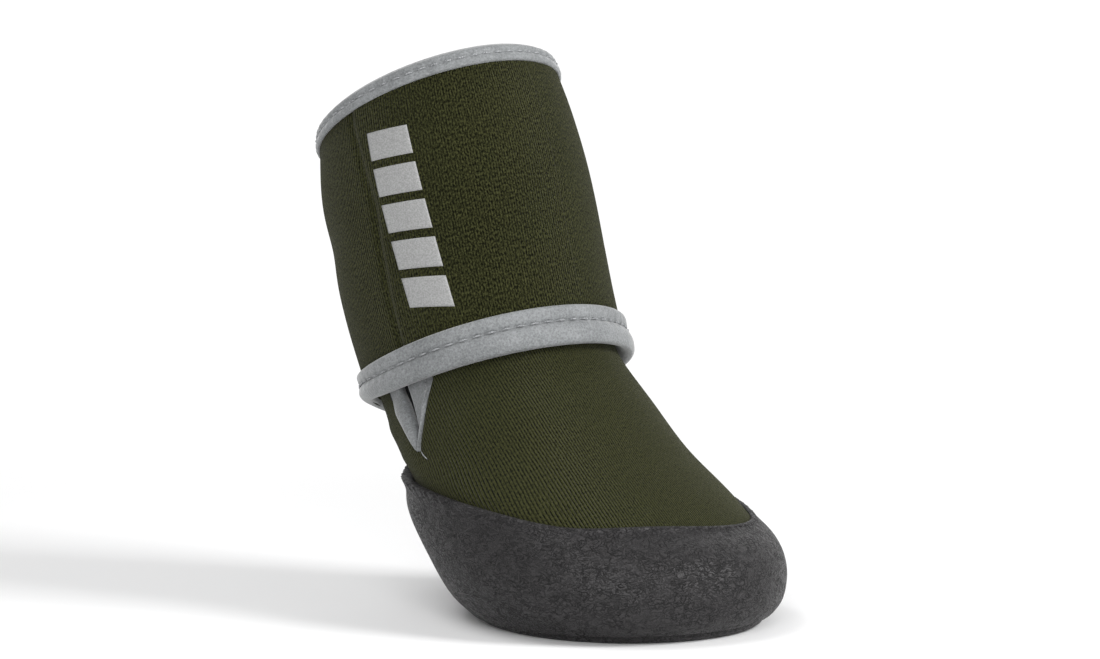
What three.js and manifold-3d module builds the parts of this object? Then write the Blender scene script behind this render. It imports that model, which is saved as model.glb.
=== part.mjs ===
// A small pull-on dog boot: a moulded rubber cup sole, a soft upper with a wrap cuff round its shaft,
// grey bindings on the collar, on the cuff's hem and on the lips of a side slit, and a loose insole.
// Millimetres. +X points to the toe, +Y to the far side, +Z up. The origin lies on the ground under the
// middle of the tread.

import * as THREE from "three";
import { mergeVertices } from "three/addons/utils/BufferGeometryUtils.js";
import Module from "manifold-3d";

// Driving sizes of the foot and the sole.
const SOLE_LENGTH = 83;
const BALL_WIDTH = 66;
const SOLE_HEIGHT = 26.2;
const SOLE_FLOOR = 4.2;
const SOLE_LIP = 1.2;
const TREAD_DEPTH = 0.7;
const TREAD_PITCH = 5.3;
const TREAD_BAR = 2.2;

// Driving sizes of the ankle and the shaft.
const ANKLE_HEIGHT = 48.6;
const ANKLE_LENGTH = 51.4;
const ANKLE_WIDTH = 50.4;
const ANKLE_SETBACK = 33.8;
const COLLAR_HEIGHT = 103.4;
const COLLAR_LENGTH = 49.4;
const COLLAR_WIDTH = 44.6;
const COLLAR_SETBACK = 50.9;
const COLLAR_PITCH = 25;
const INSTEP_PITCH = 11;
const TOP_EDGE_PITCH = -7.3;

// Cloth thicknesses, bindings and the gap between neighbours.
const UPPER_WALL = 2;
const CUFF_WALL = 1.8;
const INSOLE_THICKNESS = 2.4;
const BINDING_WALL = 1;
const COLLAR_BINDING_HEIGHT = 3.4;
const HEM_HEIGHT = 6.7;
const HEM_PROUD = 1.6;
const HEM_STAND_OFF = 1.5;
const SLIT_ANGLE = -100;
const SLIT_WIDTH = 14.9;
const SLIT_DEPTH = 11.3;
const SLIT_TIP_WIDTH = 0.1;
const SLIT_HIDDEN = 12;
const GAP = 0.3;

// How finely the round forms are faceted.
const AROUND = 52;

const RUBBER = { color: 0x3a393b, roughness: 0.62, metalness: 0 };
const KNIT = { color: 0x383b24, roughness: 0.92, metalness: 0 };
const CUFF_KNIT = { color: 0x363921, roughness: 0.92, metalness: 0 };
const REFLECTIVE = { color: 0xa2a6a6, roughness: 0.45, metalness: 0.1 };
const FELT = { color: 0x2b2b2d, roughness: 0.95, metalness: 0 };

const radians = THREE.MathUtils.degToRad;

// Sections of the upper's outer face, from the sole seat to the collar. Height and place of the middle
// of each section, its pitch (the front edge raised), its roll (the near edge raised), its half length
// and half width, and how much fuller its toe end is than its heel end.
const UPPER_SECTIONS = [
  { name: "seat", z: 0.19 * SOLE_HEIGHT, x: -0.01 * SOLE_LENGTH, pitch: 0, roll: 0,
    length: 0.385 * SOLE_LENGTH, width: 0.43 * BALL_WIDTH, toe: 0.05 },
  { name: "bulge", z: 0.46 * SOLE_HEIGHT, x: -0.03 * SOLE_LENGTH, pitch: -1, roll: 0,
    length: 0.412 * SOLE_LENGTH, width: 0.462 * BALL_WIDTH, toe: 0.05 },
  { name: "side", z: 0.74 * SOLE_HEIGHT, x: -0.085 * SOLE_LENGTH, pitch: -4, roll: 0,
    length: 0.428 * SOLE_LENGTH, width: 0.474 * BALL_WIDTH, toe: 0.05 },
  { name: "edge", z: SOLE_HEIGHT, x: -0.154 * SOLE_LENGTH, pitch: TOP_EDGE_PITCH, roll: 0,
    length: 0.428 * SOLE_LENGTH, width: 0.475 * BALL_WIDTH, toe: 0.05 },
  { name: "vamp", z: SOLE_HEIGHT + 0.3 * (ANKLE_HEIGHT - SOLE_HEIGHT), x: -0.62 * ANKLE_SETBACK,
    pitch: 1, roll: 1, length: 0.366 * SOLE_LENGTH, width: 0.442 * BALL_WIDTH, toe: 0.02 },
  { name: "instep", z: SOLE_HEIGHT + 0.58 * (ANKLE_HEIGHT - SOLE_HEIGHT), x: -0.78 * ANKLE_SETBACK,
    pitch: INSTEP_PITCH, roll: 2.5, length: 0.525 * ANKLE_LENGTH, width: 0.541 * ANKLE_WIDTH, toe: 0 },
  { name: "hem", z: ANKLE_HEIGHT - 0.5 * HEM_HEIGHT - GAP, x: -0.936 * ANKLE_SETBACK,
    pitch: 0.86 * COLLAR_PITCH, roll: 3.6, length: 0.493 * ANKLE_LENGTH, width: 0.496 * ANKLE_WIDTH, toe: 0 },
  { name: "ankle", z: ANKLE_HEIGHT + 0.5 * HEM_HEIGHT, x: -1.03 * ANKLE_SETBACK,
    pitch: 0.92 * COLLAR_PITCH, roll: 4, length: 0.5 * ANKLE_LENGTH, width: 0.5 * ANKLE_WIDTH, toe: 0 },
  { name: "shin", z: ANKLE_HEIGHT + 0.3 * (COLLAR_HEIGHT - ANKLE_HEIGHT),
    x: -ANKLE_SETBACK - 0.34 * (COLLAR_SETBACK - ANKLE_SETBACK), pitch: 0.98 * COLLAR_PITCH, roll: 4,
    length: 0.52 * ANKLE_LENGTH, width: 0.5 * ANKLE_WIDTH, toe: 0 },
  { name: "calf", z: ANKLE_HEIGHT + 0.65 * (COLLAR_HEIGHT - ANKLE_HEIGHT),
    x: -ANKLE_SETBACK - 0.67 * (COLLAR_SETBACK - ANKLE_SETBACK), pitch: COLLAR_PITCH, roll: 3,
    length: 0.55 * COLLAR_LENGTH, width: 0.56 * COLLAR_WIDTH, toe: 0 },
  { name: "collar", z: COLLAR_HEIGHT, x: -COLLAR_SETBACK, pitch: COLLAR_PITCH, roll: 2.5,
    length: 0.5 * COLLAR_LENGTH, width: 0.5 * COLLAR_WIDTH, toe: 0 },
];

// Sections of the rubber cup's outer face, from the ground to its top edge, in the same columns.
const EDGE = UPPER_SECTIONS[3];
const SOLE_SECTIONS = [
  { name: "ground", z: 0, x: 0, pitch: 0, roll: 0,
    length: 0.362 * SOLE_LENGTH, width: 0.41 * BALL_WIDTH, toe: 0.05 },
  { name: "turn", z: 0.055 * SOLE_HEIGHT, x: 0.005 * SOLE_LENGTH, pitch: 0.9, roll: 0,
    length: 0.385 * SOLE_LENGTH, width: 0.434 * BALL_WIDTH, toe: 0.05 },
  { name: "foxing", z: 0.2 * SOLE_HEIGHT, x: -0.012 * SOLE_LENGTH, pitch: 0.5, roll: 0,
    length: 0.427 * SOLE_LENGTH, width: 0.474 * BALL_WIDTH, toe: 0.05 },
  { name: "bulge", z: 0.45 * SOLE_HEIGHT, x: -0.043 * SOLE_LENGTH, pitch: -1, roll: 0,
    length: 0.457 * SOLE_LENGTH, width: 0.512 * BALL_WIDTH, toe: 0.05 },
  { name: "shoulder", z: 0.73 * SOLE_HEIGHT, x: -0.099 * SOLE_LENGTH, pitch: -4, roll: 0,
    length: 0.484 * SOLE_LENGTH, width: 0.507 * BALL_WIDTH, toe: 0.05 },
  { name: "edge", z: SOLE_HEIGHT, x: EDGE.x, pitch: EDGE.pitch, roll: 0,
    length: EDGE.length + SOLE_LIP, width: EDGE.width + SOLE_LIP, toe: EDGE.toe },
];

const COLUMNS = ["x", "pitch", "roll", "length", "width", "toe"];

// The section at a height, on smooth curves through a table's rows.
function sectionAt(rows, z) {
  const last = rows.length - 2;
  let row = 0;
  while (row < last && rows[row + 1].z < z) row += 1;
  const [below, above] = [rows[row], rows[row + 1]];
  const step = above.z - below.z;
  const share = (z - below.z) / step;
  const slope = (at, column) => {
    const from = rows[Math.max(at - 1, 0)];
    const to = rows[Math.min(at + 1, rows.length - 1)];
    return (to[column] - from[column]) / (to.z - from.z);
  };
  const section = { z };
  for (const column of COLUMNS) {
    const square = share * share;
    const cube = square * share;
    section[column] = (2 * cube - 3 * square + 1) * below[column]
      + (cube - 2 * square + share) * step * slope(row, column)
      + (3 * square - 2 * cube) * above[column]
      + (cube - square) * step * slope(row + 1, column);
  }
  return section;
}

// A point of a section: an oval in the section's own tilted plane, grown outwards by an offset.
function sectionPoint(section, angle, offset) {
  const along = (section.length + offset) * Math.cos(angle);
  const fullness = 1 + section.toe * Math.cos(angle);
  const across = (section.width + offset) * Math.sin(angle) * fullness;
  const pitch = radians(section.pitch);
  const roll = radians(section.roll);
  return new THREE.Vector3(
    section.x + along * Math.cos(pitch),
    across * Math.cos(roll),
    section.z + along * Math.sin(pitch) - across * Math.sin(roll),
  );
}

const upperPoint = (z, angle, offset) => sectionPoint(sectionAt(UPPER_SECTIONS, z), angle, offset);
const solePoint = (z, angle, offset) => sectionPoint(sectionAt(SOLE_SECTIONS, z), angle, offset);

function spread(from, to, steps) {
  return Array.from({ length: steps + 1 }, (_, index) => from + (to - from) * (index / steps));
}

function geometryFrom(points, faces) {
  const geometry = new THREE.BufferGeometry();
  geometry.setAttribute("position", new THREE.Float32BufferAttribute(points.flatMap((p) => [p.x, p.y, p.z]), 3));
  geometry.setIndex(faces);
  return geometry;
}

// A solid swept once round the foot. Each ring is a function of the angle, and the rings run up the
// outside and down the inside. Where the profile is open, its two ends are closed by a flat fan each.
function roundSolid(rings, closed) {
  const points = [];
  const faces = [];
  for (const ring of rings) {
    for (let side = 0; side < AROUND; side += 1) points.push(ring((2 * Math.PI * side) / AROUND));
  }
  const bands = closed ? rings.length : rings.length - 1;
  for (let band = 0; band < bands; band += 1) {
    const low = band * AROUND;
    const high = ((band + 1) % rings.length) * AROUND;
    for (let side = 0; side < AROUND; side += 1) {
      const next = (side + 1) % AROUND;
      faces.push(low + side, low + next, high + next);
      faces.push(low + side, high + next, high + side);
    }
  }
  if (!closed) {
    for (const [first, turned] of [[0, true], [(rings.length - 1) * AROUND, false]]) {
      const middle = new THREE.Vector3();
      for (let side = 0; side < AROUND; side += 1) middle.add(points[first + side]);
      points.push(middle.divideScalar(AROUND));
      for (let side = 0; side < AROUND; side += 1) {
        const next = (side + 1) % AROUND;
        const pair = turned ? [first + next, first + side] : [first + side, first + next];
        faces.push(points.length - 1, ...pair);
      }
    }
  }
  return geometryFrom(points, faces);
}

// A strip of the upper's form: bounded at each height by two angles, and between two offsets.
function patchSolid(heights, startAngle, endAngle, inner, outer, columns) {
  const points = [];
  const faces = [];
  const width = columns + 1;
  for (const skin of [inner, outer]) {
    for (const z of heights) {
      for (const share of spread(0, 1, columns)) {
        const angle = startAngle(z) + (endAngle(z) - startAngle(z)) * share;
        points.push(upperPoint(z, angle, skin(z, share)));
      }
    }
  }
  const sheet = heights.length * width;
  const quad = (a, b, c, d) => faces.push(a, b, c, a, c, d);
  for (let row = 0; row < heights.length - 1; row += 1) {
    for (let column = 0; column < columns; column += 1) {
      const at = row * width + column;
      quad(at, at + width, at + width + 1, at + 1);
      quad(sheet + at, sheet + at + 1, sheet + at + width + 1, sheet + at + width);
    }
    const left = row * width;
    const right = left + columns;
    quad(left, sheet + left, sheet + left + width, left + width);
    quad(right, right + width, sheet + right + width, sheet + right);
  }
  const top = (heights.length - 1) * width;
  for (let column = 0; column < columns; column += 1) {
    quad(column, column + 1, sheet + column + 1, sheet + column);
    quad(top + column, sheet + top + column, sheet + top + column + 1, top + column + 1);
  }
  return geometryFrom(points, faces);
}

const wasm = await Module();
wasm.setup();

function toSolid(geometry) {
  const bare = geometry.clone();
  bare.deleteAttribute("normal");
  bare.deleteAttribute("uv");
  const merged = mergeVertices(bare, 1e-5);
  return new wasm.Manifold(new wasm.Mesh({
    numProp: 3,
    vertProperties: new Float32Array(merged.attributes.position.array),
    triVerts: new Uint32Array(merged.index.array),
  }));
}

function toGeometry(solid) {
  const mesh = solid.getMesh();
  const geometry = new THREE.BufferGeometry();
  geometry.setAttribute("position", new THREE.BufferAttribute(new Float32Array(mesh.vertProperties), 3));
  geometry.setIndex(new THREE.BufferAttribute(new Uint32Array(mesh.triVerts), 1));
  return geometry;
}

const boot = new THREE.Group();

function addPiece(name, geometry, finish) {
  const piece = new THREE.Mesh(geometry, new THREE.MeshStandardMaterial(finish));
  piece.name = name;
  boot.add(piece);
}

// The slit is a V with its tip below the hem. Its rear edge bows out, its front edge bows a little in,
// and above the hem's lower edge it stays as wide as it is there.
const SLIT_REAR_SHARE = 0.39;
const SLIT_REAR_BOW = 0.6;
const SLIT_FRONT_BOW = 1.15;
const hemBottom = ANKLE_HEIGHT - 0.5 * HEM_HEIGHT;
const slitTop = hemBottom + SLIT_HIDDEN;
const slitTip = hemBottom - SLIT_DEPTH;
const slitRise = (z) => Math.min(1, Math.max(0, (z - slitTip) / SLIT_DEPTH));
const slitRear = (z) => -SLIT_REAR_SHARE * SLIT_WIDTH * slitRise(z) ** SLIT_REAR_BOW;
const slitFront = (z) => (1 - SLIT_REAR_SHARE) * SLIT_WIDTH * slitRise(z) ** SLIT_FRONT_BOW;
const slitAngle = (millimetres) => radians(SLIT_ANGLE) + millimetres / (0.5 * ANKLE_WIDTH);
const acrossSlit = (z, share) => slitRear(z) + (slitFront(z) - slitRear(z)) * share;

// The cuff's wall lies a gap outside the upper. Both are faceted at the same heights.
const cuffBottom = ANKLE_HEIGHT + 0.04 * HEM_HEIGHT;
const cuffInside = GAP;
const cuffOutside = GAP + CUFF_WALL;
const cuffHeights = spread(cuffBottom, COLLAR_HEIGHT, 6);

// Outsole: a rubber cup, rounded over at the ground and open at the top, round the foot of the upper.
const GROOVE_SHARES = [0.9, 0.915, 0.935, 0.95];
const groundShare = (share, z) => (angle) => {
  const point = solePoint(0, angle, 0);
  return new THREE.Vector3(point.x * share, point.y * share, z);
};

function zigzagChannel(x, from, to) {
  const teeth = Math.max(2, Math.round(Math.abs(to - from) / (0.85 * TREAD_PITCH)));
  const rise = 0.2 * TREAD_PITCH;
  const half = 0.5 * TREAD_BAR;
  const points = [];
  const faces = [];
  spread(from, to, teeth).forEach((y, index) => {
    const middle = x + (index % 2 ? rise : -rise);
    for (const z of [-TREAD_DEPTH, TREAD_DEPTH]) {
      points.push(new THREE.Vector3(middle - half, y, z), new THREE.Vector3(middle + half, y, z));
    }
  });
  const quad = (a, b, c, d) => faces.push(a, b, c, a, c, d);
  for (let tooth = 0; tooth < teeth; tooth += 1) {
    const at = tooth * 4;
    quad(at, at + 4, at + 5, at + 1);
    quad(at + 2, at + 3, at + 7, at + 6);
    quad(at, at + 2, at + 6, at + 4);
    quad(at + 1, at + 5, at + 7, at + 3);
  }
  const end = teeth * 4;
  quad(0, 1, 3, 2);
  quad(end, end + 2, end + 3, end + 1);
  return geometryFrom(points, faces);
}

function makeOutsole() {
  const wallInside = spread(SOLE_HEIGHT, SOLE_FLOOR + GAP, 6);
  const cup = roundSolid([
    groundShare(GROOVE_SHARES[0], 0),
    groundShare(GROOVE_SHARES[1], TREAD_DEPTH),
    groundShare(GROOVE_SHARES[2], TREAD_DEPTH),
    groundShare(GROOVE_SHARES[3], 0),
    groundShare(1, 0),
    ...[0.02, 0.055, 0.12, 0.2, 0.32, 0.45, 0.6, 0.75, 0.88, 1].map(
      (share) => (angle) => solePoint(share * SOLE_HEIGHT, angle, 0)),
    ...wallInside.map((z) => (angle) => upperPoint(Math.max(z, UPPER_SECTIONS[0].z), angle, GAP)),
    (angle) => upperPoint(UPPER_SECTIONS[0].z, angle, GAP).setZ(SOLE_FLOOR),
  ], false);
  let sole = toSolid(cup);
  const reach = 0.5 * SOLE_LENGTH * 0.66;
  const rows = Math.floor(reach / TREAD_PITCH);
  for (let row = -rows; row <= rows; row += 1) {
    const x = row * TREAD_PITCH;
    const halfSpan = 0.37 * BALL_WIDTH * Math.sqrt(1 - (x / (reach * 1.16)) ** 2);
    const long = Math.abs(row) === rows;
    const spans = long ? [[-halfSpan, halfSpan]] : [[-halfSpan, -0.1 * BALL_WIDTH], [0.1 * BALL_WIDTH, halfSpan]];
    for (const [from, to] of spans) {
      sole = sole.subtract(toSolid(zigzagChannel(x, from, to)));
    }
  }
  addPiece("outsole", toGeometry(sole), RUBBER);
}

// Insole: a loose felt pad on the cup's floor, inside the upper's lower edge.
function makeInsole() {
  const seat = UPPER_SECTIONS[0].z;
  const inset = -UPPER_WALL - GAP;
  const low = SOLE_FLOOR + GAP;
  const rim = (z, offset) => (angle) => upperPoint(seat, angle, offset).setZ(z);
  addPiece("insole", roundSolid([
    rim(low, inset),
    rim(low + 0.7 * INSOLE_THICKNESS, inset),
    rim(low + INSOLE_THICKNESS, inset - 0.3 * INSOLE_THICKNESS),
  ], false), FELT);
}

// Upper: one hollow wall from the sole seat to the collar, open at both ends, with the slit cut out.
function makeUpper() {
  const seat = UPPER_SECTIONS[0].z;
  const heights = [
    ...spread(seat, SOLE_HEIGHT, 4),
    ...spread(SOLE_HEIGHT, cuffBottom, 5).slice(1),
    ...cuffHeights.slice(1),
  ];
  const shell = roundSolid([
    ...heights.map((z) => (angle) => upperPoint(z, angle, 0)),
    ...heights.toReversed().map((z) => (angle) => upperPoint(z, angle, -UPPER_WALL)),
  ], true);
  const slit = patchSolid([...spread(slitTip, hemBottom, 6), slitTop],
    (z) => slitAngle(slitRear(z)), (z) => slitAngle(slitFront(z) + SLIT_TIP_WIDTH),
    () => -1.5 * UPPER_WALL, () => 0.5 * UPPER_WALL, 4);
  addPiece("upper", toGeometry(toSolid(shell).subtract(toSolid(slit))), KNIT);
}

// Slit lips: a narrow rolled lip behind the slit and a broad turned-in panel in front of it, with the
// open slit between them.
const REAR_LIP_SHARE = { tip: 0.58, hem: 0.3 };
const FRONT_LIP_SHARE = { tip: 0.72, hem: 0.46 };
function makeSlitLips() {
  const heights = [...spread(slitTip + 0.14 * SLIT_DEPTH, hemBottom, 6), slitTop - GAP];
  const split = (share, z) => acrossSlit(z, share.tip + (share.hem - share.tip) * slitRise(z));
  const proud = (z) => Math.min(1, Math.max(0, (hemBottom - z) / (0.4 * SLIT_DEPTH)));
  const rolled = (z, share) => 0.35 * UPPER_WALL * proud(z) * Math.sin(Math.PI * share);
  const turned = (z, share) => UPPER_WALL * (0.35 * proud(z) * Math.max(0, 2 * share - 1) - 0.4 * (1 - share));
  addPiece("slit_lip_rear", patchSolid(heights,
    (z) => slitAngle(slitRear(z) + GAP),
    (z) => slitAngle(split(REAR_LIP_SHARE, z)),
    () => -0.8 * UPPER_WALL, rolled, 4), REFLECTIVE);
  addPiece("slit_lip_front", patchSolid(heights,
    (z) => slitAngle(split(FRONT_LIP_SHARE, z)),
    (z) => slitAngle(slitFront(z) - GAP),
    () => -0.8 * UPPER_WALL, turned, 4), REFLECTIVE);
}

// Cuff: a second wall wrapped round the shaft, cut between two forms grown from the upper's own.
function makeCuff() {
  addPiece("cuff_wrap", roundSolid([
    ...cuffHeights.map((z) => (angle) => upperPoint(z, angle, cuffOutside)),
    ...cuffHeights.toReversed().map((z) => (angle) => upperPoint(z, angle, cuffInside)),
  ], true), CUFF_KNIT);
}

// A binding: a closed profile of heights and offsets, carried round the shaft.
function makeBinding(name, profile) {
  addPiece(name, roundSolid(profile.map(([z, offset]) => (angle) => upperPoint(z, angle, offset)), true), REFLECTIVE);
}

// Collar binding: a strip folded over the top edges of the upper and the cuff.
function makeCollarBinding() {
  const inside = -UPPER_WALL - GAP;
  const outside = cuffOutside + GAP;
  const low = COLLAR_HEIGHT - COLLAR_BINDING_HEIGHT;
  makeBinding("collar_binding", [
    [low, outside],
    [low + 0.12 * COLLAR_BINDING_HEIGHT, outside + 0.7 * BINDING_WALL],
    [low + 0.45 * COLLAR_BINDING_HEIGHT, outside + 0.75 * BINDING_WALL],
    [COLLAR_HEIGHT, outside + 0.5 * BINDING_WALL],
    [COLLAR_HEIGHT + GAP + BINDING_WALL, 0.75 * outside + 0.25 * inside],
    [COLLAR_HEIGHT + GAP + BINDING_WALL, 0.25 * outside + 0.75 * inside],
    [COLLAR_HEIGHT, inside - 0.6 * BINDING_WALL],
    [low + 0.1 * COLLAR_BINDING_HEIGHT, inside - 0.6 * BINDING_WALL],
    [low, inside],
    [COLLAR_HEIGHT + GAP, inside],
    [COLLAR_HEIGHT + GAP, outside],
  ]);
}

// Hem binding: an upper strip on the cuff, a stitched waist, and a fuller lower strip that rolls under
// the cuff's hem and stands off the foot.
function makeHemBinding() {
  const at = (share) => hemBottom + share * HEM_HEIGHT;
  const seat = cuffOutside + GAP;
  makeBinding("hem_binding", [
    [at(0), HEM_STAND_OFF],
    [at(0.04), seat],
    [at(0.2), seat + HEM_PROUD],
    [at(0.4), seat + HEM_PROUD],
    [at(0.56), seat + 0.55 * HEM_PROUD],
    [at(0.75), seat + 0.75 * HEM_PROUD],
    [at(0.94), seat + 0.6 * HEM_PROUD],
    [at(1), seat],
    [at(0.46), seat],
    [at(0.46), GAP],
    [at(0.3), GAP],
  ]);
}

makeOutsole();
makeInsole();
makeUpper();
makeSlitLips();
makeCuff();
makeHemBinding();
makeCollarBinding();

export default boot;
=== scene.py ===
"""Dresses a small dog boot: a rubber cup sole, a soft knit upper with a wrap cuff, and grey bindings."""

import math

import bmesh
import bpy
import numpy as np
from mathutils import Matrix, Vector


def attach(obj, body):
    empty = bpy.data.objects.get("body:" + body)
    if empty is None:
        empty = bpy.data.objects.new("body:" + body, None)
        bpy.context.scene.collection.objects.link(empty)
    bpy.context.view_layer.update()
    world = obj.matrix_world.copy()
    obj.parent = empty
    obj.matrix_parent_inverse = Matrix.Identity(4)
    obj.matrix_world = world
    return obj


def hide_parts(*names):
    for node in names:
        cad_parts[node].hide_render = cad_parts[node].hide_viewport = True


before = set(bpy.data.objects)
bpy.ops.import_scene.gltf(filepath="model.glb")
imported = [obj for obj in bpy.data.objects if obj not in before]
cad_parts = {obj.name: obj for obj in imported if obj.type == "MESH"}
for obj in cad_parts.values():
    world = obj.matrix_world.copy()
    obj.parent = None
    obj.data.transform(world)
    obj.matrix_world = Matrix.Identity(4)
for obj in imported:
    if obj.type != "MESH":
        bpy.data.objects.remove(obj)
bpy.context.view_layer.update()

# Outsole. A cup of charcoal rubber, moulded in one piece with its tread and bonded round the foot of
# the upper. It is rounded over at the ground, bulges at the toe and is undercut at the heel.

MM = 0.001
GAP = 0.3 * MM
SOLE_LENGTH = 83 * MM
BALL_WIDTH = 66 * MM
SOLE_HEIGHT = 26.2 * MM
SOLE_FLOOR = 4.2 * MM
SOLE_LIP = 1.2 * MM
TREAD_DEPTH = 0.7 * MM
TREAD_PITCH = 5.3 * MM
TREAD_BAR = 2.2 * MM

ANKLE_HEIGHT = 48.6 * MM
ANKLE_LENGTH = 51.4 * MM
ANKLE_WIDTH = 50.4 * MM
ANKLE_SETBACK = 33.8 * MM
COLLAR_HEIGHT = 103.4 * MM
COLLAR_LENGTH = 49.4 * MM
COLLAR_WIDTH = 44.6 * MM
COLLAR_SETBACK = 50.9 * MM
COLLAR_PITCH = 25
UPPER_WALL = 2 * MM
HEM_HEIGHT = 6.7 * MM

# Rows of ovals: height of the middle, its place along X, pitch and roll in degrees, half length, half
# width, and how much fuller the toe is.
EDGE_ROW = (SOLE_HEIGHT, -0.154 * SOLE_LENGTH, -7.3, 0, 0.428 * SOLE_LENGTH, 0.475 * BALL_WIDTH, 0.05)
SOLE_ROWS = (
    (0, 0, 0, 0, 0.362 * SOLE_LENGTH, 0.41 * BALL_WIDTH, 0.05),
    (0.055 * SOLE_HEIGHT, 0.005 * SOLE_LENGTH, 0.9, 0, 0.385 * SOLE_LENGTH, 0.434 * BALL_WIDTH, 0.05),
    (0.2 * SOLE_HEIGHT, -0.012 * SOLE_LENGTH, 0.5, 0, 0.427 * SOLE_LENGTH, 0.474 * BALL_WIDTH, 0.05),
    (0.45 * SOLE_HEIGHT, -0.043 * SOLE_LENGTH, -1, 0, 0.457 * SOLE_LENGTH, 0.512 * BALL_WIDTH, 0.05),
    (0.73 * SOLE_HEIGHT, -0.099 * SOLE_LENGTH, -4, 0, 0.484 * SOLE_LENGTH, 0.507 * BALL_WIDTH, 0.05),
    (*EDGE_ROW[:4], EDGE_ROW[4] + SOLE_LIP, EDGE_ROW[5] + SOLE_LIP, 0.05),
)
RISE = ANKLE_HEIGHT - SOLE_HEIGHT
SHAFT = COLLAR_HEIGHT - ANKLE_HEIGHT
LEAN = COLLAR_SETBACK - ANKLE_SETBACK
UPPER_ROWS = (
    (0.19 * SOLE_HEIGHT, -0.01 * SOLE_LENGTH, 0, 0, 0.385 * SOLE_LENGTH, 0.43 * BALL_WIDTH, 0.05),
    (0.46 * SOLE_HEIGHT, -0.03 * SOLE_LENGTH, -1, 0, 0.412 * SOLE_LENGTH, 0.462 * BALL_WIDTH, 0.05),
    (0.74 * SOLE_HEIGHT, -0.085 * SOLE_LENGTH, -4, 0, 0.428 * SOLE_LENGTH, 0.474 * BALL_WIDTH, 0.05),
    EDGE_ROW,
    (SOLE_HEIGHT + 0.3 * RISE, -0.62 * ANKLE_SETBACK, 1, 1, 0.366 * SOLE_LENGTH, 0.442 * BALL_WIDTH, 0.02),
    (SOLE_HEIGHT + 0.58 * RISE, -0.78 * ANKLE_SETBACK, 11, 2.5,
     0.525 * ANKLE_LENGTH, 0.541 * ANKLE_WIDTH, 0),
    (ANKLE_HEIGHT - 0.5 * HEM_HEIGHT - GAP, -0.936 * ANKLE_SETBACK, 0.86 * COLLAR_PITCH, 3.6,
     0.493 * ANKLE_LENGTH, 0.496 * ANKLE_WIDTH, 0),
    (ANKLE_HEIGHT + 0.5 * HEM_HEIGHT, -1.03 * ANKLE_SETBACK, 0.92 * COLLAR_PITCH, 4,
     0.5 * ANKLE_LENGTH, 0.5 * ANKLE_WIDTH, 0),
    (ANKLE_HEIGHT + 0.3 * SHAFT, -ANKLE_SETBACK - 0.34 * LEAN, 0.98 * COLLAR_PITCH, 4,
     0.52 * ANKLE_LENGTH, 0.5 * ANKLE_WIDTH, 0),
    (ANKLE_HEIGHT + 0.65 * SHAFT, -ANKLE_SETBACK - 0.67 * LEAN, COLLAR_PITCH, 3,
     0.55 * COLLAR_LENGTH, 0.56 * COLLAR_WIDTH, 0),
    (COLLAR_HEIGHT, -COLLAR_SETBACK, COLLAR_PITCH, 2.5, 0.5 * COLLAR_LENGTH, 0.5 * COLLAR_WIDTH, 0),
)


def oval(rows, z, angle, offset=0.0):
    """A point of the tilted oval at height z. Each column of the table is a cubic curve through its
    rows, with the slope of the line between the row's neighbours. The oval's half length and half
    width grow by the offset."""
    z, angle, offset = np.broadcast_arrays(np.asarray(z, float), angle, offset)
    table = np.array(rows, float)
    heights = table[:, 0]
    lower = np.clip(np.searchsorted(heights, z, side="left") - 1, 0, len(table) - 2)
    before = np.maximum(np.arange(len(table)) - 1, 0)
    after = np.minimum(np.arange(len(table)) + 1, len(table) - 1)
    slopes = (table[after] - table[before]) / (heights[after] - heights[before])[:, None]
    step = (heights[lower + 1] - heights[lower])[..., None]
    share = (z - heights[lower])[..., None] / step
    row = ((2 * share**3 - 3 * share**2 + 1) * table[lower]
           + (share**3 - 2 * share**2 + share) * step * slopes[lower]
           + (3 * share**2 - 2 * share**3) * table[lower + 1]
           + (share**3 - share**2) * step * slopes[lower + 1])
    _, x, pitch, roll, length, width, toe = np.moveaxis(row, -1, 0)
    along = (length + offset) * np.cos(angle)
    across = (width + offset) * np.sin(angle) * (1 + toe * np.cos(angle))
    pitch, roll = np.radians(pitch), np.radians(roll)
    return np.stack([x + along * np.cos(pitch), across * np.cos(roll),
                     z + along * np.sin(pitch) - across * np.sin(roll)], axis=-1)


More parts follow.
